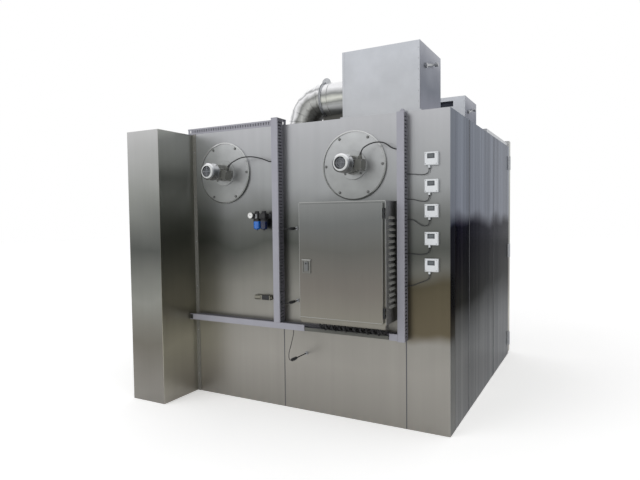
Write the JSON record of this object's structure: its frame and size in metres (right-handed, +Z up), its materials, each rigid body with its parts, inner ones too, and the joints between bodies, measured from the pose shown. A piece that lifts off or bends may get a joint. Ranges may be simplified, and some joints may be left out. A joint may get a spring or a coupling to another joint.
{
  "type": "hot air circulation oven",
  "caption": "Walk-in stainless steel hot air circulation oven with circulation fans, a hinged control cabinet, cable trunking, transmitters and exhaust boxes with a round duct on the roof.",
  "frame": {"origin": "middle of the insulated body's footprint, on the floor", "axes": "+X to the right along the front face as seen by someone facing it, +Y from the front face back into the oven, +Z up; the front face with the fans and the cabinet looks towards -Y"},
  "size_m": [2.56, 2.957, 2.675],
  "materials": {
    "black_plastic": "matt",
    "blue_bowl": "gloss",
    "brass_valve": "satin",
    "bright_stainless": "polished",
    "cable_sheath": "matt",
    "fan_plate_steel": "satin",
    "grey_cable_sheath": "matt",
    "grey_sheet_paint": "semi-gloss",
    "motor_cowl_paint": "satin",
    "motor_paint": "satin",
    "stainless_panel": "brushed",
    "trunking_plastic": "matt",
    "white_plastic": "matt",
    "zinc_plate": "satin"
  },
  "bodies": {
    "oven": {"air_set_bodies": "black_plastic", "air_set_bowls": "blue_bowl", "air_set_bracket": "zinc_plate", "air_valve": "brass_valve", "cabinet_cables": "cable_sheath", "cabinet_glands": "black_plastic", "cabinet_hinges": "zinc_plate", "cabinet_louvres": "stainless_panel", "cabinet_mounting_plate": "zinc_plate", "cabinet_shell": "stainless_panel", "chamber_wall_left": "stainless_panel", "corner_cover_strip": "stainless_panel", "damper_levers": "black_plastic", "duct_elbow": "bright_stainless", "duct_flanges": "zinc_plate", "exhaust_box_front": "grey_sheet_paint", "exhaust_box_rear": "grey_sheet_paint", "exhaust_duct": "bright_stainless", "fan_motors": "motor_paint", "fan_plates": "fan_plate_steel", "front_panels": "stainless_panel", "motor_cable_left": "cable_sheath", "motor_cable_right": "cable_sheath", "motor_cowls": "motor_cowl_paint", "oven_floor": "stainless_panel", "pressure_gauge": "white_plastic", "probe_cable_lower": "grey_cable_sheath", "probe_cable_middle": "grey_cable_sheath", "probe_cable_upper": "grey_cable_sheath", "rear_door_frame": "stainless_panel", "rear_door_hinges": "zinc_plate", "rear_door_pulls": "bright_stainless", "rear_doors": "stainless_panel", "roof_cable_run": "zinc_plate", "roof_panels": "stainless_panel", "side_housing_front": "stainless_panel", "side_housing_panels": "stainless_panel", "side_panels_right": "stainless_panel", "terminal_boxes": "motor_cowl_paint", "transmitter_cable_1": "grey_cable_sheath", "transmitter_cable_2": "grey_cable_sheath", "transmitter_cable_3": "grey_cable_sheath", "transmitter_cable_4": "grey_cable_sheath", "transmitter_cable_5": "grey_cable_sheath", "transmitter_glands": "white_plastic", "transmitters": "white_plastic", "trunking_bottom": "trunking_plastic", "trunking_covers": "trunking_plastic", "trunking_left": "trunking_plastic", "trunking_right": "trunking_plastic", "trunking_top": "trunking_plastic", "wall_probes": "black_plastic"},
    "door": {"cabinet_door": "stainless_panel", "cabinet_door_knuckles": "zinc_plate", "cabinet_lock": "bright_stainless"}
  },
  "joints": [
    {"name": "cabinet_door_hinge", "type": "hinge", "parent": "oven", "child": "door", "pos_m": [0.72488, -1.493, 1.18], "axis": [0, 0, 1], "range_deg": [0, 120]}
  ]
}
